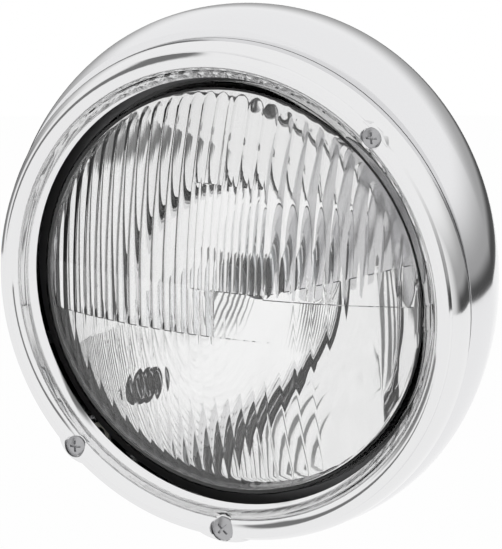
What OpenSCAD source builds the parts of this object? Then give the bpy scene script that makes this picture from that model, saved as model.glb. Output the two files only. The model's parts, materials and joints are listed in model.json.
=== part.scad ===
// Round motorcycle headlight with a fluted glass, a beaded rim and a domed shell.
// The lamp is built round its own axis: X to the right, Y to the back, Z up, with
// Y = 0 in the plane of the visible edge of the glass. seated() then puts the origin
// at the mouth of the threaded mount under the shell.

/* [Glass] */
// Radius of the glass at its visible edge
lens_r = 81.3; // [80:0.1:83]
// Height of the dome in front of its edge
lens_sag = 18; // [14:0.5:22]
// Thickness of the glass
lens_t = 3.6; // [3:0.1:4.5]
// Depth of the straight skirt behind the visible edge
skirt_depth = 10.2; // [10:0.1:12]
// Width of the flange round the back of the glass
flange_w = 4.2; // [3.6:0.1:4.4]
// Thickness of that flange
flange_t = 2; // [1.5:0.1:3]

/* [Flutes] */
// Pitch of the flutes on the left half
flute_pitch = 5.35; // [4.5:0.05:6.5]
// Depth of the flutes
flute_depth = 0.55; // [0.3:0.05:0.8]
// Pitch of the fine flutes in the middle block
block_pitch = 3.3; // [2.8:0.1:4]
// Depth of the fine flutes
block_depth = 0.4; // [0.25:0.05:0.5]
// Pitch of the wide flutes on the right
wide_pitch = 6.3; // [5.5:0.05:7.5]
// Depth of the shallow flutes below the cut-off
shallow_depth = 0.14; // [0.1:0.02:0.3]
// Height of the cut-off line, below the lamp's axis
cut_off = -14.3; // [-18:0.1:-10]
// Left edge of the middle block
block_left = -12; // [-16:0.5:-8]
// Right edge of the middle block
block_right = 20; // [16:0.5:24]
// Lower edge of the middle block
block_low = 4; // [2:0.5:8]
// Upper edge of the middle block
block_high = 44.6; // [38:0.1:50]
// Slope of the right wing of the beam
wing_angle = 15; // [10:1:20]
// Slope of the edge that falls away to the right
fall_angle = 23; // [15:1:28]
// Plain margin between the flutes and the skirt
flute_margin = 1.2; // [1:0.1:3]

/* [Rim] */
// Gap all round between the glass and the lip of the rim
lip_gap = 3; // [2.6:0.1:3.2]
// From the lip out to the middle of the bead and the screws
bead_reach = 9.2; // [9:0.1:9.6]
// Height of the crest in front of the glass edge
crest_h = 9.6; // [9:0.1:11]
// Radius of the crest
crest_r = 5; // [4.6:0.1:5.4]
// Radius of the hollow inside the crest
cove_r = 9; // [8.5:0.1:9.5]
// Angle at which the crest runs into the hollow
cove_angle = 15; // [12:1:18]
// From the middle of the bead to its outer edge
bead_half = 2.7; // [2.5:0.1:3]
// From the middle of the bead to the outside of the rim
shoulder_reach = 5.9; // [5.8:0.05:6.3]
// Radius of the shoulder outside the bead
shoulder_r = 12.75; // [12:0.25:13.5]
// Wall of the rim
rim_t = 1.5; // [1.3:0.1:1.6]
// How far the skirt of the rim reaches behind the glass edge
rim_skirt = 3.5; // [3:0.1:4]
// How far the lug at the bottom screw stands out past the rim
lug_rise = 0.8; // [0.5:0.1:1.5]
// Radius of the outline of that lug
lug_r = 22; // [16:1:28]
// How far the ears at the upper and left screws stand out past the bead
ear_rise = 1.95; // [1.85:0.05:2]
// Radius of the outline of those ears
ear_r = 12; // [9:0.5:16]

/* [Screws] */
// Clock angle of the right adjusting screw, from the right-hand side
right_screw_angle = 47.8; // [44:0.1:52]
// Clock angle of the left adjusting screw
left_screw_angle = 226.6; // [222:0.1:230]
// Clock angle of the rim screw
rim_screw_angle = 270; // [268:0.5:272]
// Clock angle of the pivot that the adjusters work against
pivot_angle = 135; // [130:1:140]
// Radius of the thread of the adjusting screws
adjuster_r = 2; // [1.75:0.05:2.25]
// Radius of the heads of the adjusting screws
adjuster_head_r = 4; // [3.6:0.1:4.1]
// How far the adjusting screws reach behind the glass edge
adjuster_reach = 25; // [23.5:0.5:30]
// Radius of the thread of the rim screw
rim_screw_r = 2.5; // [2.2:0.1:2.6]
// Radius of the head of the rim screw
rim_screw_head_r = 4.6; // [4.2:0.1:4.9]
// How far the floors of the screw recesses lie in front of the glass edge
recess_floor = 6.4; // [6.2:0.1:6.8]
// Height of the screw heads
head_h = 2.2; // [1.8:0.1:2.6]
// Clearance round a screw in its hole
screw_play = 0.3; // [0.2:0.05:0.5]
// Gap between a screw head and the wall of its recess
recess_play = 0.4; // [0.3:0.05:0.6]

/* [Shell] */
// Step from the rim out to the front edge of the shell
shell_step = 0.2; // [0:0.1:0.6]
// How much the shell swells behind its front edge
shell_swell = 2.6; // [2:0.05:3.2]
// Depth of the widest section behind the glass edge
widest_y = 18; // [16:1:22]
// Room between the bulb's boot and the back of the dome
tail_room = 18.4; // [17:0.1:24]
// Power of the dome's outline, 2 is an ellipse
dome_power = 1.45; // [1.35:0.05:1.8]
// Power of the swelling shoulder behind the front edge
shoulder_power = 2.4; // [2:0.1:3]
// Angle at which the dome climbs towards the back
rise_angle = 8.5; // [7:0.5:9]
// How much taller than wide the dome is at its back
dome_oval = 0.08; // [0:0.01:0.12]
// Wall of the shell
shell_t = 1.2; // [1:0.1:1.5]
// Length of the neck that carries the rim
neck_l = 4.4; // [4:0.1:4.8]

/* [Mount] */
// Distance of the mount behind the glass edge
mount_back = 45; // [40:1:50]
// Height of the lamp's axis above the mouth of the mount
mount_drop = 106; // [104:1:115]
// Radius of the bush that carries the thread
bush_r = 13; // [11:0.5:15]
// Radius of the foot round the mouth of the thread
foot_r = 17; // [16:0.5:20]
// Height of that foot
foot_h = 6; // [4:0.5:8]
// Radius of the tapped hole, an M10 fine thread at its core
thread_r = 4.4; // [4:0.1:5.2]
// Depth of the tapped hole
thread_l = 20; // [16:1:22]
// Radius of the cable inlet through the grommet
inlet_r = 4; // [3:0.25:5]

/* [Reflector] */
// Focal length of the reflector
focus = 27; // [26:0.1:28]
// Wall of the reflector
reflector_t = 1; // [0.8:0.1:1.2]
// Radius of the collar round the bulb seat
collar_r = 24; // [23:0.5:26]
// Radius of the bore that the bulb passes through
seat_r = 19; // [18.5:0.25:20]
// Distance from the reflector's focus back to the bulb seat
seat_back = 27; // [26:0.5:29]
// Radius of the tube that holds the pilot lamp
pilot_r = 7.4; // [7:0.1:8]
// Distance of the pilot lamp in from the mouth of the reflector
pilot_inset = 9.3; // [9:0.1:12]
// Length of the pilot lamp's tube at its inner side
pilot_l = 13.2; // [12:0.1:14]
// Clock angle of the pilot lamp
pilot_angle = 225; // [215:1:235]

/* [Bulb] */
// Radius of the bulb's glass
bulb_r = 8.5; // [8:0.1:9]
// Length of the bulb in front of its seat
bulb_l = 52; // [48:1:56]
// Radius of the bulb's flange
bulb_flange_r = 21.5; // [20.75:0.25:22]
// Length of the terminal blades behind the flange
terminal_l = 15; // [12:0.5:17]

/* [Hidden] */
$fn = 96;

slit = 0.05;                                  // gap of a tight fit
gap = 0.3;                                    // gap between pieces that only lie together
lip_r = lens_r + lip_gap;
bead_r = lip_r + bead_reach;                  // middle of the bead, circle of the screws
bead_edge_r = bead_r + bead_half;
rim_r = bead_r + shoulder_reach;
crest_c = [bead_r, crest_h - crest_r];
cove_c = crest_c + (crest_r + cove_r) * [-cos(cove_angle), sin(cove_angle)];
lip_edge = 0.5;
cove_start = -acos((lip_r + lip_edge - cove_c[0]) / cove_r);
crest_end = acos(bead_half / crest_r);
shoulder_drop = 1.5;
shoulder_c = [rim_r - shoulder_r, -shoulder_drop];
shoulder_start = acos((bead_edge_r + 0.15 - shoulder_c[0]) / shoulder_r);
boss_r = 4.85;
clip_t = 0.75;                                // clip on each adjusting screw, behind its boss
boss_back = -2.8;                             // back face of the bosses inside the rim

dome_r = lens_sag / 2 + lens_r * lens_r / (2 * lens_sag);
dome_y = dome_r - lens_sag;                   // centre of the sphere of the glass
inner_r = dome_r - lens_t;
field_r = lens_r - lens_t - flute_margin;     // circle of the fluted field
field_x = 0.985 * field_r;
knee = block_right + 8;
rows = 13;
row_gap = 0.2;
arch = 2.5;                                   // run-out of the flutes near the skirt
left_count = round((field_x + block_left) / flute_pitch);
fine_count = round((block_right - block_left) / block_pitch);
right_count = round((field_x - block_right) / wide_pitch);
left_pitch = (field_x + block_left) / left_count;
fine_pitch = (block_right - block_left) / fine_count;
right_pitch = (field_x - block_right) / right_count;
columns = concat([for (i = [0:4 * left_count]) i * left_pitch / 4 - field_x],
                 [for (i = [1:4 * fine_count]) block_left + i * fine_pitch / 4],
                 [for (i = [1:4 * right_count]) block_right + i * right_pitch / 4]);
flange_y = skirt_depth;
flange_r = lens_r + flange_w;
flange_back = flange_y + flange_t;
seal_t = 0.7;
plate_y = flange_back + seal_t + reflector_t; // front of the mounting ring
plate_t = 1.2;
ring_t = 1.2;
ring_in = flange_r - 2.9;
ring_out = flange_r + 2.9;
plate_r = ring_out + 1.2;
tab_angles = [350, 95, 200];
tab_screw_r = 1.5;
tab_reach = plate_r + 1.9;                    // circle of the ring screws
pivot_y = plate_y + 8.1;
ball_r = 4;
socket_r = 6.1;
cup_r = 7.2;
stud_r = 2.2;
stud_wall = 0.8;                              // wall of the rim's boss round the stud
nut_r = 3.2;
nut_flange_r = 4.3;
nut_play = 0.6;
ear_hole_r = nut_r + slit;

mouth_r = lens_r - lens_t + 1.6;              // where the reflector meets its flange
vertex_y = plate_y - reflector_t + mouth_r * mouth_r / (4 * focus);
focus_y = vertex_y - focus;
seat_y = focus_y + seat_back;
pilot_reach = mouth_r - pilot_inset;
pilot_end = vertex_y - pow(pilot_reach - pilot_r, 2) / (4 * focus) + pilot_l;
wire_ring = collar_r - 6.5;                   // ring of the bulb's clip

step_y = rim_skirt + gap;                     // front edge of the shell behind the neck
neck_play = 0.25;                             // room between the rim screw and the neck
neck_in = bead_r + rim_screw_r + neck_play;
neck_r = neck_in + shell_t;
neck_y = step_y - neck_l;
shell_r0 = rim_r + shell_step;
widest_r = shell_r0 + shell_swell;
boot_end = seat_y + terminal_l + 1.5;
back_y = boot_end + tail_room;
dome_l = back_y - widest_y;
front_y = -crest_h;
sides = 72;
dome_steps = 13;
shoulder_steps = 4;

bulb_flange_t = 1.2;
grommet_z = tan(rise_angle) * (back_y - front_y);
grommet_r = inlet_r + 3;

// Points of an arc; the sketch counts forward, the part counts backward.
function arc(c, r, a0, a1, n) =
    [for (i = [0:n]) let (a = a0 + (a1 - a0) * i / n) [c[0] + r * cos(a), -c[1] - r * sin(a)]];
// How far the inside of the rim's shoulder lies in front of the glass edge.
function under_rim(r) = sqrt(pow(shoulder_r - rim_t, 2) - pow(r - shoulder_c[0], 2)) - shoulder_drop;
// Half width, centre height and ovality of the shell at a depth.
function shell_w(y) = y < widest_y
    ? widest_r - shell_swell * pow((widest_y - y) / (widest_y - step_y), shoulder_power)
    : widest_r * sqrt(max(0, 1 - pow((y - widest_y) / dome_l, dome_power)));
function shell_c(y) = tan(rise_angle) * (y - front_y);
function shell_o(y) = 1 + dome_oval * (y - front_y) / (back_y - front_y);
function shell_floor(y) = shell_c(y) - (shell_w(y) - shell_t) * shell_o(y);
// Depth on the dome whose half width is cos(a) of the widest.
function dome_depth(a, l) = widest_y + l * pow(sin(a), 2 / dome_power);

// Puts the lamp over its mount.
module seated() {
    translate([0, -mount_back, mount_drop]) children();
}

// Turns a profile of radius and depth round the lamp's axis.
module turned() {
    rotate([-90, 0, 0]) rotate_extrude(convexity = 6) children();
}

// Turns only a sector of the given width, centred on a clock angle.
module turned_sector(angle, width) {
    rotate([0, -angle - width / 2, 0]) rotate([-90, 0, 0])
        mirror([0, 1, 0]) rotate_extrude(angle = width, convexity = 6) children();
}

// A band from one radius and depth to another.
module band(r0, r1, y0, y1) {
    polygon([[r0, y0], [r1, y0], [r1, y1], [r0, y1]]);
}

// Moves to a point on the circle of the screws, or any other circle.
module at_clock(angle, r = bead_r) {
    rotate([0, -angle, 0]) translate([r, 0, 0]) children();
}

// A round bar along the depth.
module bar(r, y0, y1, r1 = undef) {
    translate([0, y0, 0]) rotate([-90, 0, 0])
        cylinder(r1 = r, r2 = is_undef(r1) ? r : r1, h = y1 - y0);
}

// Cross recess for a driver, cut into a head whose front is at y.
module cross_slot(y, span) {
    for (turn = [45, 135])
        rotate([0, turn, 0]) translate([-span / 2, y - 0.1, -0.45]) cube([span, 1.4, 0.9]);
}

// A screw with a raised round head, its thread left plain.
module screw(head_r, shank_r, seat, tip) {
    lens_ball = (head_r * head_r + 1) / 2;
    difference() {
        union() {
            intersection() {
                bar(head_r, seat - head_h, seat);
                translate([0, seat - head_h + lens_ball, 0]) sphere(r = lens_ball);
            }
            bar(shank_r, seat - 0.4, tip - 1);
            bar(shank_r, tip - 1, tip, shank_r - 0.6);
        }
        cross_slot(seat - head_h, head_r * 1.15);
    }
}

// Outer and inner outline of the pressed rim.
module rim_section() {
    polygon(concat(
        arc(cove_c, cove_r, cove_start, -cove_angle, 6),
        arc(crest_c, crest_r, 180 - cove_angle, crest_end, 9),
        arc(shoulder_c, shoulder_r, shoulder_start, 0, 6),
        [[rim_r, rim_skirt], [rim_r - rim_t, rim_skirt]],
        arc(shoulder_c, shoulder_r - rim_t, 0, shoulder_start, 6),
        arc(crest_c, crest_r - rim_t, crest_end, 180 - cove_angle, 9),
        arc(cove_c, cove_r + rim_t, -cove_angle, cove_start, 6)));
}

// Part of a disc that swells past a given radius, between two depths.
module swelling(angle, reach, r, inside, y0, y1) {
    difference() {
        at_clock(angle, reach - r) bar(r, y0, y1);
        bar(inside, y0 - 1, y1 + 1);
    }
}

module rim() {
    ear_y = -crest_h + 1;
    color("silver") seated() difference() {
        union() {
            turned() rim_section();
            for (angle = [right_screw_angle, left_screw_angle]) {
                swelling(angle, bead_edge_r + ear_rise, ear_r, bead_r, ear_y, boss_back);
                at_clock(angle) bar(boss_r, -recess_floor - 0.8, boss_back);
            }
            at_clock(pivot_angle) bar(stud_r + stud_wall, -recess_floor - 0.8, boss_back);
            at_clock(rim_screw_angle) bar(boss_r + 0.6, -recess_floor - 0.8, boss_back);
            swelling(rim_screw_angle, bead_edge_r + 2.2, lug_r, bead_r - 2, ear_y + 0.6, boss_back);
            swelling(rim_screw_angle, rim_r + lug_rise, lug_r, rim_r - 1, boss_back, rim_skirt);
        }
        for (angle = [right_screw_angle, left_screw_angle]) at_clock(angle) {
            bar(adjuster_r + screw_play, -crest_h - 1, 1);
            bar(adjuster_head_r + recess_play, -crest_h - 1, -recess_floor);
        }
        at_clock(rim_screw_angle) {
            bar(rim_screw_r + screw_play, -crest_h - 1, 1);
            bar(rim_screw_head_r + recess_play, -crest_h - 1, -recess_floor);
        }
        at_clock(pivot_angle) bar(stud_r + slit, -recess_floor, 1);
    }
}

module rim_hook() {
    hook_r = neck_in - gap;
    color("silver") seated() turned_sector(90, 10) polygon([
        [hook_r - 1.2, slit - under_rim(hook_r - 1.2)], [hook_r, slit - under_rim(hook_r)],
        [hook_r, step_y + 1.3], [neck_r + 0.3, step_y + 1.3],
        [neck_r + 0.3, step_y + 2.5], [hook_r - 1.2, step_y + 2.5]]);
}

module rim_seal() {
    color("dimgray") seated() turned()
        band(neck_in, neck_r - gap, boss_back + clip_t + 3 * slit, neck_y - slit);
}

module rim_screw() {
    color("lightgray") seated() at_clock(rim_screw_angle)
        screw(rim_screw_head_r, rim_screw_r, -recess_floor, step_y + 3.5);
}

module rim_bracket() {
    tab_y = step_y + 1.2;
    tab_w = 16;
    inner_z = -ring_out - 1.5;
    floor_z = shell_floor(tab_y) + 0.6;
    color("silver") seated() difference() {
        union() {
            translate([-tab_w / 2, tab_y, floor_z]) cube([tab_w, 2, inner_z - floor_z]);
            translate([-tab_w / 2, tab_y, floor_z]) cube([tab_w, 12, 1.5]);
        }
        at_clock(rim_screw_angle) bar(rim_screw_r + slit, 0, tab_y + 3);
    }
}

module adjuster_screws() {
    color("lightgray") seated() for (angle = [right_screw_angle, left_screw_angle])
        at_clock(angle) screw(adjuster_head_r, adjuster_r, -recess_floor, adjuster_reach);
}

module adjuster_clips() {
    color("gray") seated() for (angle = [right_screw_angle, left_screw_angle])
        at_clock(angle) difference() {
            bar(adjuster_r + 1.9, boss_back + slit, boss_back + clip_t);
            bar(adjuster_r + slit, boss_back, boss_back + 2);
            translate([adjuster_r * 0.4, boss_back, -adjuster_r * 0.7])
                cube([adjuster_r * 3, 2, adjuster_r * 1.4]);
        }
}

module pivot_stud() {
    color("lightgray") seated() at_clock(pivot_angle) {
        bar(stud_r, -recess_floor, pivot_y - 3);
        translate([0, pivot_y, 0]) sphere(r = ball_r);
    }
}

module pivot_seat() {
    color("ivory") seated() at_clock(pivot_angle) translate([0, pivot_y, 0]) turned() difference() {
        intersection() {
            circle(r = socket_r - 0.15);
            band(0, socket_r, -socket_r, socket_r);
        }
        circle(r = ball_r + 0.15);
        band(-1, stud_r + 1, -socket_r - 1, 0);
    }
}

module shell_body() {
    turns = [for (i = [0:sides - 1]) 360 * i / sides];
    outer = [for (k = [dome_steps - 1:-1:1]) let (a = 90 * k / dome_steps, y = dome_depth(a, dome_l))
                 [y, widest_r * cos(a), shell_c(y), shell_o(y)]];
    shoulder = [for (k = [0:shoulder_steps]) let (y = widest_y + (step_y - widest_y) * k / shoulder_steps)
                    [y, shell_w(y), shell_c(y), shell_o(y)]];
    neck = [[step_y, neck_r, 0, 1], [neck_y, neck_r, 0, 1],
            [neck_y, neck_in, 0, 1], [step_y + 0.5, neck_in, 0, 1]];
    inner_shoulder = [for (k = [shoulder_steps:-1:0])
                          let (y = widest_y + (step_y + shell_t - widest_y) * k / shoulder_steps)
                          [y, shell_w(y) - shell_t, shell_c(y), shell_o(y)]];
    inner = [for (k = [1:dome_steps - 1])
                 let (a = 90 * k / dome_steps, y = dome_depth(a, dome_l - shell_t))
                 [y, (widest_r - shell_t) * cos(a), shell_c(y), shell_o(y)]];
    rings = concat(outer, shoulder, neck, inner_shoulder, inner);
    points = concat(
        [[0, back_y, shell_c(back_y)]],
        [for (s = rings, a = turns) [s[1] * cos(a), s[0], s[2] + s[1] * s[3] * sin(a)]],
        [[0, back_y - shell_t, shell_c(back_y - shell_t)]]);
    last = len(points) - 1;
    function id(k, i) = 1 + k * sides + i % sides;
    faces = concat(
        [for (i = [0:sides - 1]) [0, id(0, i), id(0, i + 1)]],
        [for (k = [0:len(rings) - 2], i = [0:sides - 1]) [id(k, i), id(k + 1, i), id(k + 1, i + 1)]],
        [for (k = [0:len(rings) - 2], i = [0:sides - 1]) [id(k, i), id(k + 1, i + 1), id(k, i + 1)]],
        [for (i = [0:sides - 1]) [last, id(len(rings) - 1, i + 1), id(len(rings) - 1, i)]]);
    polyhedron(points, faces, convexity = 6);
}

module shell() {
    color("gainsboro") seated() difference() {
        shell_body();
        translate([0, mount_back, -mount_drop]) cylinder(r = bush_r + slit, h = mount_drop);
        translate([0, 0, grommet_z]) bar(grommet_r + slit, back_y - 12, back_y + 2);
    }
}

module mount_bush() {
    bush_top = shell_floor(mount_back + bush_r) + mount_drop + 2;
    color("silver") difference() {
        union() {
            cylinder(r = bush_r, h = bush_top);
            cylinder(r = foot_r, h = foot_h);
        }
        translate([0, 0, -1]) cylinder(r = thread_r, h = thread_l + 1);
    }
}

module cable_grommet() {
    lip = 2.4;
    inside_y = back_y - shell_t - 1.6;
    color("dimgray") seated() translate([0, 0, grommet_z]) turned() {
        band(inlet_r, grommet_r, inside_y - lip, back_y + gap + lip);
        band(inlet_r, grommet_r + 2.6, inside_y - lip, inside_y);
        band(inlet_r, grommet_r + 2.6, back_y + slit, back_y + gap + lip);
    }
}

// A rounded tongue on the mounting ring, reaching a hole on a circle.
module tongue(angle, reach, half_w) {
    at_clock(angle, reach) bar(half_w, plate_y, plate_y + plate_t);
    at_clock(angle, reach - 4) translate([-4, plate_y, -0.85 * half_w])
        cube([6, plate_t, 1.7 * half_w]);
}

module mounting_ring() {
    color("silver") seated() difference() {
        union() {
            turned() band(ring_in - 1.6, plate_r, plate_y, plate_y + plate_t);
            turned() band(ring_in - 1.6, ring_in - 0.4, plate_y, plate_y + 6);
            for (angle = [right_screw_angle, left_screw_angle]) tongue(angle, bead_r, nut_flange_r);
            for (angle = tab_angles) tongue(angle, tab_reach, 3);
            tongue(pivot_angle, bead_r, boss_r - 0.4);
            at_clock(pivot_angle) translate([0, pivot_y, 0]) turned() difference() {
                intersection() {
                    union() {
                        circle(r = cup_r);
                        band(0, boss_r, plate_y + 0.4 - pivot_y, 0);
                    }
                    band(0, cup_r, -cup_r - 2, cup_r);
                }
                circle(r = socket_r);
            }
        }
        for (angle = [right_screw_angle, left_screw_angle])
            at_clock(angle) bar(ear_hole_r, 0, pivot_y);
        for (angle = tab_angles) at_clock(angle, tab_reach) bar(tab_screw_r + slit, 0, pivot_y);
        at_clock(pivot_angle) bar(stud_r + 1.2, 0, pivot_y - 3);
    }
}

module retaining_ring() {
    front = flange_y - ring_t;
    color("lightgray") seated() difference() {
        union() {
            turned() band(ring_in, ring_out, front, flange_y);
            turned() band(ring_out - ring_t, ring_out, front, plate_y);
            for (angle = tab_angles) {
                at_clock(angle, tab_reach) bar(3, plate_y - ring_t, plate_y);
                at_clock(angle, tab_reach - 2) translate([-2.4, plate_y - ring_t, -2.5])
                    cube([3.4, ring_t, 5]);
            }
        }
        for (angle = tab_angles) at_clock(angle, tab_reach) bar(tab_screw_r + slit, 0, pivot_y);
    }
}

module ring_screws() {
    color("silver") seated() for (angle = tab_angles) at_clock(angle, tab_reach) {
        bar(2.6, plate_y - ring_t - 1.5, plate_y - ring_t);
        bar(tab_screw_r, plate_y - ring_t, plate_y + plate_t + 2.4);
    }
}

module adjuster_nuts() {
    color("ivory") seated() for (angle = [right_screw_angle, left_screw_angle])
        at_clock(angle) difference() {
            union() {
                bar(nut_flange_r, plate_y - 1.6, plate_y);
                bar(nut_r, plate_y, plate_y + plate_t + 3);
                bar(nut_r + 0.9, plate_y + plate_t, plate_y + plate_t + 3, nut_r - 0.1);
            }
            bar(adjuster_r + nut_play, 0, pivot_y);
        }
}

// Depth of the glass's two domes at a distance from the axis.
function dome_at(r, ball) = dome_y - sqrt(ball * ball - r * r);
// Height of a row of points in the fluted field, kept inside the field's circle.
function row_goal(j, x, c) = let (
    low = cut_off - max(0, x - knee) * tan(fall_angle),
    rise = block_low + max(0, x - block_right) * tan(wing_angle),
    level = block_low - 1.5)
    [-c, arch - c, (low + arch - c) / 2, low - row_gap, low + row_gap, level - row_gap, level + row_gap,
     rise - row_gap, rise + row_gap, block_high - row_gap, block_high + row_gap, c - arch, c][j];
function row_z(j, x, c) = j == 0 ? -c
    : max(row_z(j - 1, x, c) + row_gap, min(c - (rows - 1 - j) * row_gap, row_goal(j, x, c)));
// Profile of one flute out of a row of them, from 0 at its edges to 1 in its middle.
function wave(x, start, pitch) = let (u = (x - start) / pitch) 1 - pow(2 * (u - floor(u)) - 1, 2);
function left_flute(x) = flute_depth * wave(x, block_left, left_pitch);
function right_flute(x) = flute_depth * wave(x, block_right, right_pitch);
function shallow(x) = shallow_depth
    * (x < block_right ? wave(x, block_left, left_pitch) : wave(x, block_right, right_pitch));
// How deep the pattern is cut into the inside of the glass, by zone.
function carve(j, x) =
    j == 0 || j == rows - 1 ? 0
    : j <= 3 ? 0.15 + shallow(x)
    : j <= 5 ? (x < -0.1 ? left_flute(x) : x < knee - 5 ? 0 : shallow(x))
    : j <= 7 ? (x < -0.1 ? left_flute(x) : x < block_right + 0.1 ? 0 : 0.25 + shallow(x))
    : j <= 9 ? (x < block_left ? left_flute(x) : x > block_right ? right_flute(x)
        : 0.1 + block_depth * wave(x, block_left, fine_pitch))
    : x < -0.1 ? left_flute(x) : right_flute(x);

module lens() {
    field = [for (i = [0:len(columns) - 1], j = [0:rows - 1])
        let (x = columns[i], c = sqrt(field_r * field_r - x * x), z = row_z(j, x, c))
        [x, dome_at(norm([x, z]), inner_r) - carve(j, x), z]];
    n = len(columns);
    function id(i, j) = i * rows + j;
    border = concat([for (i = [0:n - 1]) id(i, 0)], [for (j = [1:rows - 1]) id(n - 1, j)],
                    [for (i = [n - 2:-1:0]) id(i, rows - 1)], [for (j = [rows - 2:-1:1]) id(0, j)]);
    m = len(border);
    turns = [for (k = border) atan2(field[k][2], field[k][0])];
    back = [[lens_r - lens_t, dome_at(lens_r - lens_t, inner_r)], [lens_r - lens_t, flange_back],
            [flange_r, flange_back]];
    front = concat([[flange_r, flange_y], [lens_r, flange_y], [lens_r, 0.6]],
                   [for (q = [0.993, 0.88, 0.7, 0.5, 0.3, 0.12]) [lens_r * q, dome_at(lens_r * q, dome_r)]]);
    points = concat(field,
        [for (s = back, a = turns) [s[0] * cos(a), s[1], s[0] * sin(a)]],
        [for (s = front, k = [0:2:m - 1]) [s[0] * cos(turns[k]), s[1], s[0] * sin(turns[k])]],
        [[0, -lens_sag, 0]]);
    b0 = n * rows;
    f0 = b0 + 3 * m;
    h = m / 2;
    tip = len(points) - 1;
    function bk(s, k) = s < 0 ? border[k % m] : b0 + s * m + k % m;
    function fr(s, k) = f0 + s * h + k % h;
    faces = concat(
        [for (i = [0:n - 2], j = [0:rows - 2]) [id(i, j), id(i, j + 1), id(i + 1, j + 1)]],
        [for (i = [0:n - 2], j = [0:rows - 2]) [id(i, j), id(i + 1, j + 1), id(i + 1, j)]],
        [for (s = [-1:1], k = [0:m - 1]) [bk(s, k), bk(s, k + 1), bk(s + 1, k + 1)]],
        [for (s = [-1:1], k = [0:m - 1]) [bk(s, k), bk(s + 1, k + 1), bk(s + 1, k)]],
        [for (k = [0:h - 1]) [bk(2, 2 * k), bk(2, 2 * k + 1), fr(0, k)]],
        [for (k = [0:h - 1]) [bk(2, 2 * k + 1), fr(0, k + 1), fr(0, k)]],
        [for (k = [0:h - 1]) [bk(2, 2 * k + 1), bk(2, 2 * k + 2), fr(0, k + 1)]],
        [for (s = [0:len(front) - 2], k = [0:h - 1]) [fr(s, k), fr(s, k + 1), fr(s + 1, k + 1)]],
        [for (s = [0:len(front) - 2], k = [0:h - 1]) [fr(s, k), fr(s + 1, k + 1), fr(s + 1, k)]],
        [for (k = [0:h - 1]) [fr(len(front) - 1, k), fr(len(front) - 1, k + 1), tip]]);
    color("lightcyan", 0.5) seated() polyhedron(points, faces, convexity = 8);
}

module lens_seal() {
    color("dimgray") seated() turned()
        band(lens_r - lens_t + 1, flange_r - 0.5, flange_back, flange_back + seal_t);
}

module mirror_section(grow) {
    steps = 18;
    neck = seat_r + 1;
    polygon(concat(
        [[0, plate_y - reflector_t]],
        [for (i = [0:steps]) let (r = mouth_r + (neck - mouth_r) * i / steps)
            [r + grow, vertex_y - r * r / (4 * focus)]],
        [[0, vertex_y - neck * neck / (4 * focus)]]));
}

module reflector() {
    neck_y2 = vertex_y - pow(seat_r + 1, 2) / (4 * focus);
    color("whitesmoke") seated() difference() {
        union() {
            turned() mirror_section(reflector_t);
            turned() band(0, collar_r, neck_y2 - 7, seat_y);
            turned() band(mouth_r - 1, flange_r + 1, plate_y - reflector_t, plate_y);
            at_clock(pilot_angle, pilot_reach) bar(pilot_r, plate_y + 4, pilot_end);
        }
        turned() mirror_section(0);
        turned() band(0, mouth_r, plate_y - 3, plate_y - reflector_t);
        bar(seat_r, neck_y2 - 1, seat_y + 1);
        at_clock(pilot_angle, pilot_reach) bar(pilot_r - 1.2, 0, pilot_end + 1);
    }
}

module bulb_base() {
    color("silver") seated() difference() {
        union() {
            bar(bulb_flange_r, seat_y, seat_y + bulb_flange_t);
            bar(seat_r - 0.4, seat_y - 5, seat_y);
            bar(11.5, seat_y - 16, seat_y - 5);
            bar(12.5, seat_y + bulb_flange_t, seat_y + 8);
        }
        bar(bulb_r + slit, seat_y - 17, seat_y - 8);
    }
}

module bulb_glass() {
    tip = seat_y - bulb_l;
    color("white", 0.5) seated() turned() difference() {
        union() {
            band(0, bulb_r, tip + bulb_r * 0.6, seat_y - 8);
            intersection() {
                translate([0, tip + bulb_r]) circle(r = bulb_r);
                band(0, bulb_r, tip, tip + bulb_r);
            }
        }
        band(0, bulb_r - 1, tip + bulb_r, seat_y - 9);
        intersection() {
            translate([0, tip + bulb_r]) circle(r = bulb_r - 1);
            band(0, bulb_r, tip, tip + bulb_r + 1);
        }
    }
}

// Dipped-beam shield and its two stays inside the bulb.
module bulb_shield() {
    front = focus_y - 6;
    color("gray") seated() {
        difference() {
            bar(4.6, front, front + 11);
            bar(4, front + 0.6, front + 12);
            translate([-6, front + 0.6, 0]) cube([12, 12, 6]);
        }
        for (x = [-4.3, 4.3]) translate([x, 0, -1.5]) bar(0.5, front + 10, seat_y - 9.05);
    }
}

module bulb_terminals() {
    color("goldenrod") seated() for (p = [[0, 7, 8, 0.8], [-7, -2, 0.8, 8], [7, -2, 0.8, 8]])
        translate([p[0] - p[2] / 2, seat_y + 8, p[1] - p[3] / 2]) cube([p[2], terminal_l - 8, p[3]]);
}

module bulb_clip() {
    clip_y = seat_y + bulb_flange_t + 0.65;
    color("silver") seated() {
        rotate([-90, 0, 0]) translate([0, 0, clip_y]) rotate_extrude()
            translate([wire_ring, 0]) circle(r = 0.6, $fn = 24);
        for (side = [-1, 1]) translate([side * wire_ring, 0, 0]) rotate([0, side * 90, 0])
            translate([0, clip_y, 0]) cylinder(r = 0.6, h = 5.4, $fn = 24);
    }
}

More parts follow.
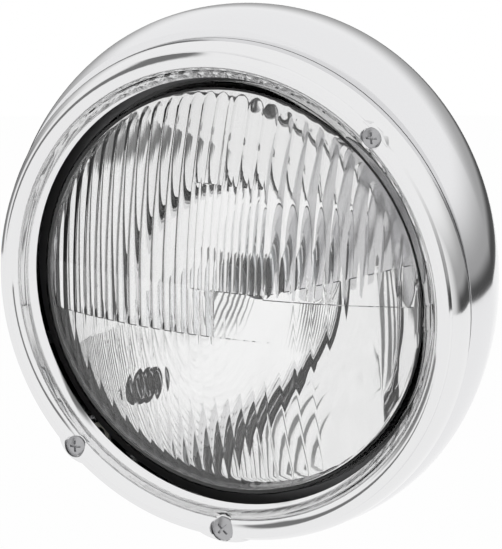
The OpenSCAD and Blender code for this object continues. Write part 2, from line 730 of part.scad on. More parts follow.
module bulb_boot() {
    grip_y = vertex_y - pow(collar_r - reflector_t, 2) / (4 * focus) + 0.8;
    end_y = boot_end;
    color("dimgray") seated() difference() {
        turned() difference() {
            polygon([[0, grip_y], [collar_r + 2, grip_y], [collar_r + 2, seat_y + 3],
                     [collar_r - 3, seat_y + 5], [collar_r - 6.5, end_y - 4], [collar_r - 8, end_y],
                     [0, end_y]]);
            polygon([[0, grip_y - 1], [collar_r + slit, grip_y - 1], [collar_r + slit, seat_y + 3],
                     [collar_r - 5, seat_y + 4.6], [collar_r - 8.3, end_y - 4.6], [0, end_y - 4.6]]);
        }
        for (p = [[0, 7, 9, 1.8], [-7, -2, 1.8, 9], [7, -2, 1.8, 9]])
            translate([p[0] - p[2] / 2, end_y - 6, p[1] - p[3] / 2]) cube([p[2], 8, p[3]]);
    }
}

module pilot_seal() {
    color("dimgray") seated() at_clock(pilot_angle, pilot_reach) difference() {
        union() {
            bar(pilot_r - 1.25, pilot_end - 7, pilot_end);
            bar(pilot_r + 1, pilot_end, pilot_end + 3);
        }
        bar(4.65, pilot_end - 8, pilot_end + 4);
    }
}

module pilot_base() {
    color("silver") seated() at_clock(pilot_angle, pilot_reach) {
        bar(4.6, pilot_end - 8, pilot_end + 5);
        bar(2, pilot_end + 5, pilot_end + 6.5);
    }
}

module pilot_glass() {
    top = pilot_end - 8;
    color("white", 0.6) seated() at_clock(pilot_angle, pilot_reach) {
        bar(4, top - 7, top);
        translate([0, top - 7, 0]) sphere(r = 4);
    }
}

shell();
rim();
rim_hook();
rim_seal();
rim_screw();
rim_bracket();
adjuster_screws();
adjuster_clips();
pivot_stud();
mount_bush();
cable_grommet();
pivot_seat();
mounting_ring();
retaining_ring();
ring_screws();
adjuster_nuts();
lens();
lens_seal();
reflector();
bulb_glass();
bulb_shield();
bulb_base();
bulb_terminals();
bulb_clip();
bulb_boot();
pilot_seal();
pilot_base();
pilot_glass();
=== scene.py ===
"""Looks of a round motorcycle headlight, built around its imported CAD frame.

The shell and the fluted glass are skinned anew from the lamp's driving dimensions, in
millimetres round the lamp's own axis: X to the right, Y to the back, Z up, Y = 0 in the
plane of the visible edge of the glass. Every other piece is a welded copy of its CAD node
with a finish of its own.
"""

import json
import logging
import math
from dataclasses import dataclass, field
from enum import Enum
from typing import Callable, Iterable

import bmesh
import bpy
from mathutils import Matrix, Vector

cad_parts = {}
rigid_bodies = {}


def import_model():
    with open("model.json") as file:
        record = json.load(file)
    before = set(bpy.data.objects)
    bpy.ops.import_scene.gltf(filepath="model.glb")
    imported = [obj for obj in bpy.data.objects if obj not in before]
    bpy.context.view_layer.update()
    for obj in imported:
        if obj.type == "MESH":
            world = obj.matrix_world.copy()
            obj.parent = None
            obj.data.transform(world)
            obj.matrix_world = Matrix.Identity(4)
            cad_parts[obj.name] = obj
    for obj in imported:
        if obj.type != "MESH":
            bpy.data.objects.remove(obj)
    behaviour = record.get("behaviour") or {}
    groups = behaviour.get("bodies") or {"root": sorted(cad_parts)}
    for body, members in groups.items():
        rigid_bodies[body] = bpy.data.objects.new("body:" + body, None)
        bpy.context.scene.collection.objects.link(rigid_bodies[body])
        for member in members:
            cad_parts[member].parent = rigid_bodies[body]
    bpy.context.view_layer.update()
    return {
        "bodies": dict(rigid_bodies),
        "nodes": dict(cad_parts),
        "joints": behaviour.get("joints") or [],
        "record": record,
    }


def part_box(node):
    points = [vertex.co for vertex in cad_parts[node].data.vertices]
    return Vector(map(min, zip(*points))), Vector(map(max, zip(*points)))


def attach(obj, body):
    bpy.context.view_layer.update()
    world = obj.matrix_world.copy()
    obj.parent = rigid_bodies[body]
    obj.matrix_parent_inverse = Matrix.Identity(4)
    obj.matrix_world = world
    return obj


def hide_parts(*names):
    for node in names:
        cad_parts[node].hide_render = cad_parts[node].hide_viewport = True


log = logging.getLogger("headlight")

MM = 0.001
WELD = 1e-6
Place = Callable[[float], Vector]


class Body(Enum):
    """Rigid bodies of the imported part."""

    HOUSING = "housing"
    BALL_SEAT = "ball_seat"
    INSERT = "insert"


class Value:
    """A shader socket or a number that takes part in written-out maths."""

    def __init__(self, tree: bpy.types.NodeTree, socket: object) -> None:
        """Wraps a socket.

        Args:
            tree: node tree that the maths is added to.
            socket: an output socket, or a plain number.
        """
        self.tree = tree
        self.socket = socket

    def _math(self, operation: str, *terms: object) -> "Value":
        """Adds one Math node.

        Args:
            operation: name of the Math node's operation.
            terms: the operands, each a Value or a number.

        Returns:
            The result as a new Value.
        """
        node = self.tree.nodes.new("ShaderNodeMath")
        node.operation = operation
        for entry, term in zip(node.inputs, terms):
            source = term.socket if isinstance(term, Value) else term
            if isinstance(source, bpy.types.NodeSocket):
                self.tree.links.new(source, entry)
            else:
                entry.default_value = source
        return Value(self.tree, node.outputs[0])

    def __add__(self, other: object) -> "Value":
        """Sum of two values."""
        return self._math("ADD", self, other)

    def __radd__(self, other: object) -> "Value":
        """Sum with the number first."""
        return self._math("ADD", other, self)

    def __sub__(self, other: object) -> "Value":
        """Difference of two values."""
        return self._math("SUBTRACT", self, other)

    def __rsub__(self, other: object) -> "Value":
        """Difference with the number first."""
        return self._math("SUBTRACT", other, self)

    def __mul__(self, other: object) -> "Value":
        """Product of two values."""
        return self._math("MULTIPLY", self, other)

    def __rmul__(self, other: object) -> "Value":
        """Product with the number first."""
        return self._math("MULTIPLY", other, self)

    def above(self, edge: float) -> "Value":
        """One where the value lies above an edge, zero elsewhere."""
        return self._math("GREATER_THAN", self, edge)

    def largest(self, other: object) -> "Value":
        """The larger of two values."""
        return self._math("MAXIMUM", self, other)


class Graph:
    """The node tree of one material or world."""

    def __init__(self, tree: bpy.types.NodeTree) -> None:
        """Starts from an empty tree.

        Args:
            tree: node tree to fill.
        """
        self.tree = tree
        tree.nodes.clear()

    def node(self, kind: str, settings: dict | None = None, **values: object) -> bpy.types.Node:
        """Adds a node of any kind.

        Args:
            kind: type name of the node.
            settings: properties of the node, set before its sockets.
            values: numbers, colours, sockets or Values for its inputs, with _ for a space.

        Returns:
            The new node.
        """
        made = self.tree.nodes.new(kind)
        for name, value in (settings or {}).items():
            setattr(made, name, value)
        for name, value in values.items():
            entry = made.inputs[name.replace("_", " ")]
            source = value.socket if isinstance(value, Value) else value
            if isinstance(source, bpy.types.NodeSocket):
                self.tree.links.new(source, entry)
            else:
                entry.default_value = source
        return made

    def value(self, socket: object) -> Value:
        """Wraps a socket for maths."""
        return Value(self.tree, socket)

    def slope(self, value: Value, low: float, high: float) -> Value:
        """Eases from zero to one between two edges.

        Args:
            value: what is eased.
            low: edge where it leaves zero.
            high: edge where it reaches one.

        Returns:
            A value from zero to one.
        """
        made = self.node("ShaderNodeMapRange", {"interpolation_type": "SMOOTHSTEP"}, Value=value,
                         From_Min=low, From_Max=high)
        return self.value(made.outputs["Result"])

    def grain(self, scale: float, stretch: tuple[float, float, float] = (1, 1, 1)) -> Value:
        """Soft noise on the piece's own coordinates.

        Args:
            scale: how fine the noise is, per metre.
            stretch: factors along X, Y and Z.

        Returns:
            A value round one half.
        """
        place = self.node("ShaderNodeTexCoord")
        mapped = self.node("ShaderNodeMapping", Vector=place.outputs["Object"], Scale=stretch)
        noise = self.node("ShaderNodeTexNoise", Vector=mapped.outputs["Vector"], Scale=scale,
                          Detail=3.0)
        return self.value(noise.outputs["Fac"])


@dataclass(frozen=True)
class Finish:
    """A surface finish.

    Attributes:
        slot: material slot of the record that it stands for.
        colour: base colour.
        rough: mean roughness.
        metal: one for bare metal, zero otherwise.
        mottle: how much the roughness wanders.
        grain: fineness of that wander, per metre.
        clear: one for glass that light passes through.
        bend: index of refraction.
        dents: height of a fine relief in metres, or zero.
    """

    slot: str
    colour: tuple[float, float, float]
    rough: float
    metal: float = 0.0
    mottle: float = 0.0
    grain: float = 400.0
    clear: float = 0.0
    bend: float = 1.5
    dents: float = 0.0

    def material(self) -> bpy.types.Material:
        """Makes the material once and hands it out again after that."""
        known = bpy.data.materials.get("look_" + self.slot)
        if known:
            return known
        made = bpy.data.materials.new("look_" + self.slot)
        made.use_nodes = True
        graph = Graph(made.node_tree)
        shader = graph.node("ShaderNodeBsdfPrincipled", Base_Color=(*self.colour, 1.0),
                            Metallic=self.metal, Transmission_Weight=self.clear,
                            IOR=self.bend, Roughness=self.rough)
        if self.mottle:
            wander = self.rough + self.mottle * (graph.grain(self.grain) - 0.5)
            graph.tree.links.new(wander.socket, shader.inputs["Roughness"])
        if self.dents:
            relief = graph.node("ShaderNodeBump", Strength=1.0, Distance=self.dents,
                                Height=graph.grain(self.grain))
            graph.tree.links.new(relief.outputs["Normal"], shader.inputs["Normal"])
        graph.node("ShaderNodeOutputMaterial", Surface=shader.outputs["BSDF"])
        return made


SHELL_CHROME = Finish("chrome_shell", (0.8, 0.8, 0.81), 0.09, metal=1.0, mottle=0.03, grain=60.0)
RIM_CHROME = Finish("chrome_rim", (0.82, 0.82, 0.825), 0.07, metal=1.0, mottle=0.02, grain=60.0)
LENS_GLASS = Finish("lens_glass", (0.985, 0.985, 0.985), 0.0, clear=1.0)
MIRROR = Finish("mirror_metal", (0.93, 0.93, 0.93), 0.02, metal=1.0)
ZINC = Finish("zinc", (0.62, 0.63, 0.64), 0.35, metal=1.0, mottle=0.2, grain=700.0)
SCREW_STEEL = Finish("screw_steel", (0.45, 0.45, 0.46), 0.3, metal=1.0, mottle=0.1, grain=900.0)
SPRING_STEEL = Finish("spring_steel", (0.5, 0.5, 0.51), 0.3, metal=1.0)
BUSH_STEEL = Finish("bush_steel", (0.6, 0.6, 0.61), 0.3, metal=1.0, mottle=0.1)
RUBBER = Finish("rubber", (0.02, 0.02, 0.021), 0.6, mottle=0.1, grain=900.0, dents=0.00003)
NYLON = Finish("nylon", (0.8, 0.78, 0.7), 0.45)
# Dark rings: partly their own black paint, partly painted shade, kept near black so the narrow gap
# between the rim's lip and the glass reads dark.
RING_PAINT_AND_SHADE = Finish("ring_paint", (0.1, 0.1, 0.102), 0.3, metal=0.6)
QUARTZ = Finish("bulb_glass", (0.98, 0.985, 0.99), 0.0, clear=1.0, bend=1.46)
SHIELD = Finish("shield_metal", (0.35, 0.36, 0.38), 0.35, metal=1.0)
CAP_METAL = Finish("bulb_metal", (0.75, 0.75, 0.76), 0.25, metal=1.0)
BRASS = Finish("brass", (0.75, 0.6, 0.3), 0.3, metal=1.0)


@dataclass
class Lamp:
    """Driving dimensions of the lamp in millimetres, and its place in the row frame."""

    lens_r: float = 81.3
    lens_sag: float = 18.0
    lens_t: float = 3.6
    flange_w: float = 4.2
    origin: Vector = field(init=False)
    flange_back: float = field(init=False)

    def __post_init__(self) -> None:
        """Reads the lamp's place from the glass's box."""
        low, high = (Vector(corner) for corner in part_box("lens"))
        middle = (low + high) / 2
        self.origin = Vector((0.0, low.y + self.lens_sag * MM, middle.z))
        self.flange_back = (high.y - self.origin.y) / MM

    def at(self, x: float, y: float, z: float) -> Vector:
        """Turns lamp millimetres into a place in the row frame."""
        return self.origin + Vector((x, y, z)) * MM

    def polar(self, r: float, y: float, turn: float) -> Vector:
        """Place at a radius, depth and clock angle in radians."""
        return self.at(r * math.cos(turn), y, r * math.sin(turn))

    @property
    def dome_r(self) -> float:
        """Radius of the sphere of the glass."""
        return self.lens_sag / 2 + self.lens_r**2 / (2 * self.lens_sag)

    def dome_at(self, r: float, ball: float) -> float:
        """Depth of a dome of the glass at a distance from the axis."""
        return self.dome_r - self.lens_sag - math.sqrt(ball * ball - r * r)


class Skin:
    """A mesh that grows ring by ring, each vertex keeping its clock angle."""

    def __init__(self) -> None:
        """Starts an empty mesh with a layer for the clock angles."""
        self.mesh = bmesh.new()
        self.turn = self.mesh.verts.layers.float.new("turn")
        self.edges: list[bmesh.types.BMEdge] = []

    def circle(self, sides: int, place: Place) -> None:
        """Starts from a circle.

        Args:
            sides: number of vertices.
            place: position for a clock angle in radians.
        """
        made = bmesh.ops.create_circle(self.mesh, radius=1.0, segments=sides)
        for vert in made["verts"]:
            vert[self.turn] = math.atan2(vert.co.y, vert.co.x)
            vert.co = place(vert[self.turn])
        self.edges = list({edge for vert in made["verts"] for edge in vert.link_edges})

    def border(self, centre: Vector) -> None:
        """Takes the open border of what is there as the ring to grow from.

        Args:
            centre: point that the clock angles are measured round.
        """
        self.edges = [edge for edge in self.mesh.edges if edge.is_boundary]
        for vert in self._verts():
            across = vert.co - centre
            vert[self.turn] = math.atan2(across.z, across.x)

    def _verts(self) -> set[bmesh.types.BMVert]:
        """Vertices of the newest ring."""
        return {vert for edge in self.edges for vert in edge.verts}

    def grow(self, place: Place) -> None:
        """Extrudes the newest ring and puts the new one in its place.

        Args:
            place: position for a clock angle in radians.
        """
        made = bmesh.ops.extrude_edge_only(self.mesh, edges=self.edges)["geom"]
        fresh = {item for item in made if isinstance(item, bmesh.types.BMVert)}
        for vert in fresh:
            vert.co = place(vert[self.turn])
        self.edges = [item for item in made if isinstance(item, bmesh.types.BMEdge)
                      and item.verts[0] in fresh and item.verts[1] in fresh]

    def close(self, tip: Vector) -> None:
        """Draws the newest ring together into a pole."""
        bmesh.ops.pointmerge(self.mesh, verts=list(self._verts()), merge_co=tip)


class Bench:
    """Turns meshes into finished pieces of the lamp."""

    def __init__(self) -> None:
        """Starts with nothing made."""
        self.made: list[str] = []

    def piece(self, name: str, mesh: bmesh.types.BMesh, finish: Finish, body: Body,
              stands_for: Iterable[str] = (), crease: float = 30.0) -> bpy.types.Object:
        """Finishes one mesh.

        Args:
            name: name of the new object.
            mesh: the mesh, in metres in the row frame.
            finish: its finish.
            body: the body that carries it.
            stands_for: CAD nodes that it replaces.
            crease: angle in degrees above which an edge stays sharp.

        Returns:
            The new object.
        """
        bmesh.ops.remove_doubles(mesh, verts=mesh.verts, dist=WELD)
        bmesh.ops.recalc_face_normals(mesh, faces=mesh.faces)
        for face in mesh.faces:
            face.smooth = True
        for edge in mesh.edges:
            edge.smooth = edge.calc_face_angle(0.0) < math.radians(crease)
        data = bpy.data.meshes.new(name)
        mesh.to_mesh(data)
        mesh.free()
        made = bpy.data.objects.new(name, data)
        bpy.context.scene.collection.objects.link(made)
        data.materials.append(finish.material())
        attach(made, body.value)
        if stands_for:
            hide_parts(*stands_for)
        self.made.append(name)
        log.info("%s: %d faces", name, len(data.polygons))
        return made

    def copy(self, frame: dict, node: str, finish: Finish, body: Body,
             crease: float = 30.0) -> bpy.types.Object:
        """Makes a welded copy of a CAD node, which it then stands for.

        Args:
            node: name of the node.
            finish: its finish.
            body: the body that carries it.
            crease: angle in degrees above which an edge stays sharp.

        Returns:
            The new object.
        """
        mesh = bmesh.new()
        mesh.from_mesh(frame["nodes"][node].data)
        return self.piece(node + "_look", mesh, finish, body, [node], crease)


@dataclass
class Shell:
    """The domed shell behind the rim."""

    lamp: Lamp
    front_y: float = -9.6
    step_y: float = 3.8
    front_r: float = 99.6
    swell: float = 2.6
    widest_y: float = 18.0
    dome_l: float = 88.027
    dome_power: float = 1.45
    shoulder_power: float = 2.4
    rise: float = math.radians(8.5)
    oval: float = 0.08
    wall: float = 1.2
    neck_r: float = 97.45
    neck_l: float = 4.4
    sides: int = 192

    def width(self, y: float) -> float:
        """Half width of the shell at a depth."""
        widest = self.front_r + self.swell
        if y < self.widest_y:
            before = (self.widest_y - y) / (self.widest_y - self.step_y)
            return widest - self.swell * before**self.shoulder_power
        return widest * math.sqrt(max(0.0, 1 - ((y - self.widest_y) / self.dome_l) ** self.dome_power))

    def section(self, y: float, inset: float = 0.0) -> Place:
        """Ring of the shell at a depth.

        Args:
            y: depth.
            inset: how far the ring lies inside the outer skin.

        Returns:
            Place for a clock angle.
        """
        centre = math.tan(self.rise) * (y - self.front_y)
        tall = 1 + self.oval * (y - self.front_y) / (self.widest_y + self.dome_l - self.front_y)
        r = self.width(y) - inset
        return lambda turn: self.lamp.at(r * math.cos(turn), y, centre + r * tall * math.sin(turn))

    def build(self, bench: Bench) -> None:
        """Skins the shell inside and out."""
        skin = Skin()
        lamp = self.lamp
        back = self.widest_y + self.dome_l
        steps = 44
        neck_in = self.neck_r - self.wall
        skin.circle(self.sides, self.section(self.step_y))
        depths = [self.step_y + (self.widest_y - self.step_y) * k / 8 for k in range(1, 9)]
        angles = [math.pi / 2 * k / steps for k in range(1, steps)]
        depths += [self.widest_y + self.dome_l * math.sin(a) ** (2 / self.dome_power) for a in angles]
        for y in depths:
            skin.grow(self.section(y))
        skin.close(lamp.at(0, back, math.tan(self.rise) * (back - self.front_y)))
        skin.edges = [edge for edge in skin.mesh.edges if edge.is_boundary]
        skin.grow(lambda turn: lamp.polar(self.neck_r, self.step_y, turn))
        skin.grow(lambda turn: lamp.polar(self.neck_r, self.step_y - self.neck_l, turn))
        skin.grow(lambda turn: lamp.polar(neck_in, self.step_y - self.neck_l, turn))
        skin.grow(lambda turn: lamp.polar(neck_in, self.step_y + 0.5, turn))
        for y in [self.step_y + self.wall, *depths[2:-1:2]]:
            skin.grow(self.section(y, self.wall))
        inner = back - self.wall
        skin.close(lamp.at(0, inner, math.tan(self.rise) * (inner - self.front_y)))
        bench.piece("shell_look", skin.mesh, SHELL_CHROME, Body.HOUSING, ["shell"], crease=35.0)


@dataclass
class Glass:
    """The fluted glass."""

    lamp: Lamp
    flute_pitch: float = 5.35
    flute_depth: float = 0.75
    block_pitch: float = 3.3
    block_depth: float = 0.4
    wide_pitch: float = 6.3
    shallow_depth: float = 0.14
    cut_off: float = -14.3
    block_left: float = -12.0
    block_right: float = 20.0
    block_low: float = 4.0
    block_high: float = 44.6
    wing: float = math.radians(15)
    fall: float = math.radians(23)
    margin: float = 0.5
    skirt_t: float = 2.6
    arch: float = 5.0
    gap: float = 0.2
    flange_y: float = 10.2
    fine: int = 12
    field_share: float = 0.985
    knee_shift: float = 8.0
    plain_before_knee: float = 5.0
    level_drop: float = 1.5
    low_step: float = 0.15
    wing_step: float = 0.25
    block_step: float = 0.1
    seam: float = 0.1
    run: tuple[float, ...] = (0.0, 0.04, 0.1, 0.18, 0.27, 0.37, 0.48, 0.6, 0.78, 1.0)
    edge: tuple[tuple[float, float], ...] = ((0.0, 0.9), (0.08, 0.45), (0.35, 0.1))
    dome: tuple[float, ...] = (0.99, 0.96, 0.92, 0.87, 0.81, 0.74, 0.66, 0.57, 0.47, 0.37,
                               0.27, 0.17, 0.08)

    def __post_init__(self) -> None:
        """Fits whole numbers of flutes between the edges of the pattern."""
        lamp = self.lamp
        self.inner_r = lamp.dome_r - lamp.lens_t
        self.field_r = lamp.lens_r - self.skirt_t - self.margin
        self.field_x = self.field_share * self.field_r
        self.knee = self.block_right + self.knee_shift
        lefts = round((self.field_x + self.block_left) / self.flute_pitch)
        fines = round((self.block_right - self.block_left) / self.block_pitch)
        rights = round((self.field_x - self.block_right) / self.wide_pitch)
        self.left_pitch = (self.field_x + self.block_left) / lefts
        self.fine_pitch = (self.block_right - self.block_left) / fines
        self.right_pitch = (self.field_x - self.block_right) / rights
        n = self.fine
        self.columns = (
            [i * self.left_pitch / n - self.field_x for i in range(n * lefts + 1)]
            + [self.block_left + i * self.fine_pitch / n for i in range(1, n * fines + 1)]
            + [self.block_right + i * self.right_pitch / n for i in range(1, n * rights + 1)])

    @staticmethod
    def wave(x: float, start: float, pitch: float) -> float:
        """Profile of one flute out of a row, zero at its edges and one in its middle."""
        u = (x - start) / pitch
        return 1 - (2 * (u - math.floor(u + 1e-9)) - 1) ** 2

    def goals(self, x: float, c: float) -> list[tuple[float, int]]:
        """Heights of the rows of one column before they are kept apart.

        Args:
            x: the column's place.
            c: half the length of the column.

        Returns:
            Pairs of a height and the zone it belongs to.
        """
        low = self.cut_off - max(0.0, x - self.knee) * math.tan(self.fall)
        rise = self.block_low + max(0.0, x - self.block_right) * math.tan(self.wing)
        level = self.block_low - self.level_drop
        rows = [(-c + self.arch * t, 0) for t in self.run]
        rows += [((low * t + (self.arch - c) * (1 - t)), 0) for t in (0.25, 0.5, 0.75)]
        rows += [(low - self.gap, 0), (low + self.gap, 1), ((low + level) / 2, 1),
                 (level - self.gap, 1), (level + self.gap, 2), (rise - self.gap, 2),
                 (rise + self.gap, 3)]
        rows += [(rise + (self.block_high - rise) * t, 3) for t in (0.33, 0.66)]
        rows += [(self.block_high - self.gap, 3), (self.block_high + self.gap, 4)]
        rows += [(self.block_high + (c - self.arch - self.block_high) * t, 4) for t in (0.33, 0.66)]
        rows += [(c - self.arch * t, 4) for t in reversed(self.run)]
        return rows

    def heights(self, x: float) -> list[tuple[float, int]]:
        """Rows of one column, in order and inside the field's circle."""
        c = math.sqrt(self.field_r**2 - x * x)
        goals = self.goals(x, c)
        least = min(self.gap, 2 * c / (2 * len(goals)))
        out: list[tuple[float, int]] = []
        for j, (goal, zone) in enumerate(goals):
            z = min(c - (len(goals) - 1 - j) * least, goal)
            z = -c if j == 0 else max(out[-1][0] + least, z)
            out.append((z, zone))
        return out

    def carve(self, x: float, z: float, zone: int) -> float:
        """How deep the pattern is cut into the inside of the glass."""
        edge = min(1.0, max(0.0, (math.sqrt(self.field_r**2 - x * x) - abs(z)) / self.arch))
        end = (1 - edge) ** 2
        left = self.flute_depth * max(0.0, self.wave(x, self.block_left, self.left_pitch) - end)
        right = self.flute_depth * max(0.0, self.wave(x, self.block_right, self.right_pitch) - end)
        start, pitch = ((self.block_left, self.left_pitch) if x < self.block_right
                        else (self.block_right, self.right_pitch))
        faint = self.shallow_depth * self.wave(x, start, pitch)
        if zone == 0:
            depth = self.low_step + faint
        elif x < -self.seam and (zone in (1, 2, 4) or x < self.block_left):
            depth = left
        elif zone == 1:
            depth = 0.0 if x < self.knee - self.plain_before_knee else faint
        elif zone == 2:
            depth = 0.0 if x < self.block_right + self.seam else self.wing_step + faint
        elif zone == 3 and x <= self.block_right:
            depth = (self.block_step
                     + self.block_depth * self.wave(x, self.block_left, self.fine_pitch))
        else:
            depth = right
        return depth if zone > 2 else depth * math.sqrt(1 - end)

    def build(self, bench: Bench) -> None:
        """Grows the skirt and the dome from the fluted field."""
        lamp = self.lamp
        skin = Skin()
        stacks = [self.heights(x) for x in self.columns]
        across, up = len(self.columns) - 1, len(stacks[0]) - 1
        grid = bmesh.ops.create_grid(skin.mesh, x_segments=across, y_segments=up, size=1.0)
        for vert in grid["verts"]:
            i = round((vert.co.x + 1) / 2 * across)
            j = round((vert.co.y + 1) / 2 * up)
            x, (z, zone) = self.columns[i], stacks[i][j]
            inside = lamp.dome_at(math.hypot(x, z), self.inner_r)
            vert.co = lamp.at(x, inside - self.carve(x, z, zone), z)
        skin.border(lamp.origin)
        inner, outer = lamp.lens_r - self.skirt_t, lamp.lens_r + lamp.flange_w
        path = [(inner, lamp.dome_at(inner, self.inner_r)), (inner, lamp.flange_back),
                (outer, lamp.flange_back), (outer, self.flange_y), (lamp.lens_r, self.flange_y)]
        path += [(lamp.lens_r - inset, y) for inset, y in self.edge]
        rings = [lamp.lens_r * share for share in self.dome]
        path += [(r, lamp.dome_at(r, lamp.dome_r)) for r in rings]
        for r, y in path:
            skin.grow(lambda turn, r=r, y=y: lamp.polar(r, y, turn))
        skin.close(lamp.at(0, -lamp.lens_sag, 0))
        bench.piece("lens_look", skin.mesh, LENS_GLASS, Body.INSERT, ["lens"], crease=24.0)


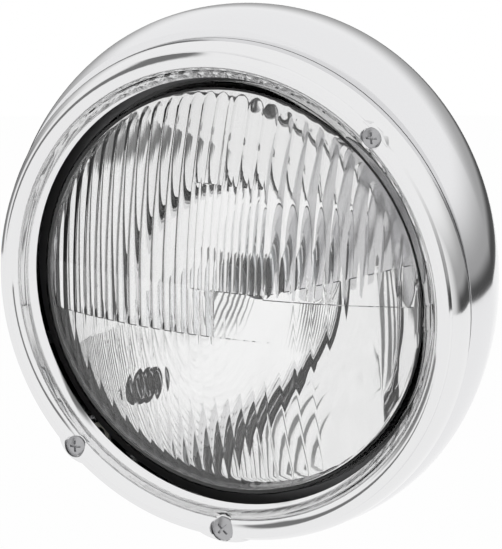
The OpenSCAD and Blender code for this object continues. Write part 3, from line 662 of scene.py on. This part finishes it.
class Studio:
    """Floor, light and camera."""

    TURN = math.radians(25.6)
    TILT = math.radians(14.58)
    DISTANCE = 2.5
    LENS = 424.0
    SENSOR = 36.0
    SHIFT_RIGHT = 7.473
    SHIFT_UP = 6.727
    CARD = math.radians(6)
    DUSK = 0.4
    SKY = (-0.05, 0.45)
    FRONT = (-0.25, 0.3)
    LIP_FOOT = (-0.24, -0.18)
    LIP_TOP = (-0.15, -0.05)
    LIP_BACK = (0.0, 0.4)
    LIP_DEPTH = 0.8
    SIDE = (0.8, 0.92)
    SIDE_TOP = (0.0, 0.3)
    SIDE_DEPTH = 0.75
    LEFT_GAP = ((0.46, 0.52), (0.66, 0.72))
    RIGHT_GAP = ((0.4, 0.46), (0.58, 0.64))
    GAP_FRONT = (0.05, 0.15)
    GAP_TOP = (0.5, 0.7)
    GAP_DEPTH = 0.8
    FLOOR_GLOW = 0.95
    FLOOR_GREY = 0.85
    FLOOR_R = 2.0
    FLOOR_Z = -0.3

    def __init__(self, lamp: Lamp) -> None:
        """Keeps the lamp that is being shown.

        Args:
            lamp: the lamp and its place.
        """
        self.lamp = lamp

    def ahead(self) -> Vector:
        """Direction that the camera looks in."""
        return Vector((-math.sin(self.TURN) * math.cos(self.TILT),
                       math.cos(self.TURN) * math.cos(self.TILT), -math.sin(self.TILT)))

    def camera(self) -> None:
        """Puts the camera at the photograph's viewing angle."""
        right = Vector((math.cos(self.TURN), math.sin(self.TURN), 0.0))
        ahead = self.ahead()
        up = right.cross(ahead)
        data = bpy.data.cameras.new("view")
        data.sensor_width = self.SENSOR
        data.lens = self.LENS
        data.clip_end = 50.0
        made = bpy.data.objects.new("view", data)
        aside = (self.SHIFT_RIGHT * right + self.SHIFT_UP * up) * MM
        made.location = self.lamp.origin - self.DISTANCE * ahead + aside
        made.rotation_euler = ahead.to_track_quat("-Z", "Y").to_euler()
        bpy.context.scene.collection.objects.link(made)
        bpy.context.scene.camera = made

    def world(self) -> None:
        """Lights the lamp from all round with a soft pale sky."""
        made = bpy.data.worlds.new("studio")
        made.use_nodes = True
        graph = Graph(made.node_tree)
        place = graph.node("ShaderNodeTexCoord")
        parts = graph.node("ShaderNodeSeparateXYZ", Vector=place.outputs["Generated"])
        x, y, z = (graph.value(parts.outputs[name]) for name in "XYZ")
        lit = graph.slope(z, *self.SKY).largest(graph.slope(0.0 - y, *self.FRONT))
        lip = graph.slope(z, *self.LIP_FOOT) * (1.0 - graph.slope(z, *self.LIP_TOP))
        dusk = lip * graph.slope(y, *self.LIP_BACK)
        ahead = self.ahead()
        facing = x * ahead.x + y * ahead.y + z * ahead.z
        card = facing.above(math.cos(self.CARD))
        side = graph.slope(0.0 - x, *self.SIDE) * (1.0 - graph.slope(z, *self.SIDE_TOP))
        left = (graph.slope(0.0 - x, *self.LEFT_GAP[0])
                * (1.0 - graph.slope(0.0 - x, *self.LEFT_GAP[1])))
        right = graph.slope(x, *self.RIGHT_GAP[0]) * (1.0 - graph.slope(x, *self.RIGHT_GAP[1]))
        front = graph.slope(0.0 - y, *self.GAP_FRONT) * (1.0 - graph.slope(z, *self.GAP_TOP))
        gaps = left.largest(right) * front
        tone = (self.DUSK + (1.0 - self.DUSK) * lit) * (1.0 - self.LIP_DEPTH * dusk)
        tone = tone * (1.0 - self.SIDE_DEPTH * side) * (1.0 - self.GAP_DEPTH * gaps)
        rays = graph.node("ShaderNodeLightPath")
        behind = graph.value(rays.outputs["Is Camera Ray"])
        back = graph.node("ShaderNodeBackground", Color=tone.largest(card).largest(behind),
                          Strength=1.0)
        graph.node("ShaderNodeOutputWorld", Surface=back.outputs["Background"])
        bpy.context.scene.world = made

    def floor(self) -> None:
        """Lays a wide pale floor well below the lamp."""
        mesh = bmesh.new()
        bmesh.ops.create_circle(mesh, cap_ends=True, radius=self.FLOOR_R, segments=128)
        bmesh.ops.translate(mesh, verts=mesh.verts, vec=(0.0, 0.0, self.FLOOR_Z))
        data = bpy.data.meshes.new("floor")
        mesh.to_mesh(data)
        mesh.free()
        made = bpy.data.objects.new("floor", data)
        bpy.context.scene.collection.objects.link(made)
        look = bpy.data.materials.new("pale_floor")
        look.use_nodes = True
        graph = Graph(look.node_tree)
        rays = graph.node("ShaderNodeLightPath")
        seen = graph.value(rays.outputs["Is Camera Ray"]).largest(
            graph.value(rays.outputs["Is Glossy Ray"])).largest(
            graph.value(rays.outputs["Is Transmission Ray"]))
        matt = graph.node("ShaderNodeBsdfDiffuse", Color=(*(self.FLOOR_GREY,) * 3, 1.0))
        glow = graph.node("ShaderNodeEmission", Color=(1.0, 1.0, 1.0, 1.0), Strength=1.0)
        mixed = graph.node("ShaderNodeMixShader", Fac=seen * self.FLOOR_GLOW)
        graph.tree.links.new(matt.outputs["BSDF"], mixed.inputs[1])
        graph.tree.links.new(glow.outputs["Emission"], mixed.inputs[2])
        graph.node("ShaderNodeOutputMaterial", Surface=mixed.outputs["Shader"])
        data.materials.append(look)

    def build(self) -> None:
        """Sets up the whole studio."""
        bpy.context.scene.view_settings.view_transform = "Standard"
        self.camera()
        self.world()
        self.floor()


COPIES: dict[str, tuple[Finish, Body]] = {
    "rim": (RIM_CHROME, Body.HOUSING),
    "rim_hook": (ZINC, Body.HOUSING),
    "rim_seal": (RUBBER, Body.HOUSING),
    "rim_screw": (SCREW_STEEL, Body.HOUSING),
    "rim_bracket": (ZINC, Body.HOUSING),
    "adjuster_screws": (SCREW_STEEL, Body.HOUSING),
    "adjuster_clips": (ZINC, Body.HOUSING),
    "pivot_stud": (SCREW_STEEL, Body.HOUSING),
    "mount_bush": (BUSH_STEEL, Body.HOUSING),
    "cable_grommet": (RUBBER, Body.HOUSING),
    "pivot_seat": (NYLON, Body.BALL_SEAT),
    # Both rings take the near-black finish that also stands in as painted shade for the gap behind the
    # rim's lip.
    "mounting_ring": (RING_PAINT_AND_SHADE, Body.INSERT),
    "retaining_ring": (RING_PAINT_AND_SHADE, Body.INSERT),
    "ring_screws": (SCREW_STEEL, Body.INSERT),
    "adjuster_nuts": (NYLON, Body.INSERT),
    "lens_seal": (RUBBER, Body.INSERT),
    "reflector": (MIRROR, Body.INSERT),
    "bulb_glass": (QUARTZ, Body.INSERT),
    "bulb_shield": (SHIELD, Body.INSERT),
    "bulb_base": (CAP_METAL, Body.INSERT),
    "bulb_terminals": (BRASS, Body.INSERT),
    "bulb_clip": (SPRING_STEEL, Body.INSERT),
    "bulb_boot": (RUBBER, Body.INSERT),
    "pilot_seal": (RUBBER, Body.INSERT),
    "pilot_base": (CAP_METAL, Body.INSERT),
    "pilot_glass": (QUARTZ, Body.INSERT),
}


def main() -> None:
    """Builds every piece of the lamp and the studio round it."""
    logging.basicConfig(level=logging.INFO, format="%(name)s: %(message)s")
    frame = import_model()
    bench = Bench()
    lamp = Lamp()
    Shell(lamp).build(bench)
    Glass(lamp).build(bench)
    for node, (finish, body) in COPIES.items():
        bench.copy(frame, node, finish, body)
    Studio(lamp).build()
    log.info("%d pieces", len(bench.made))


if __name__ == "__main__":
    main()
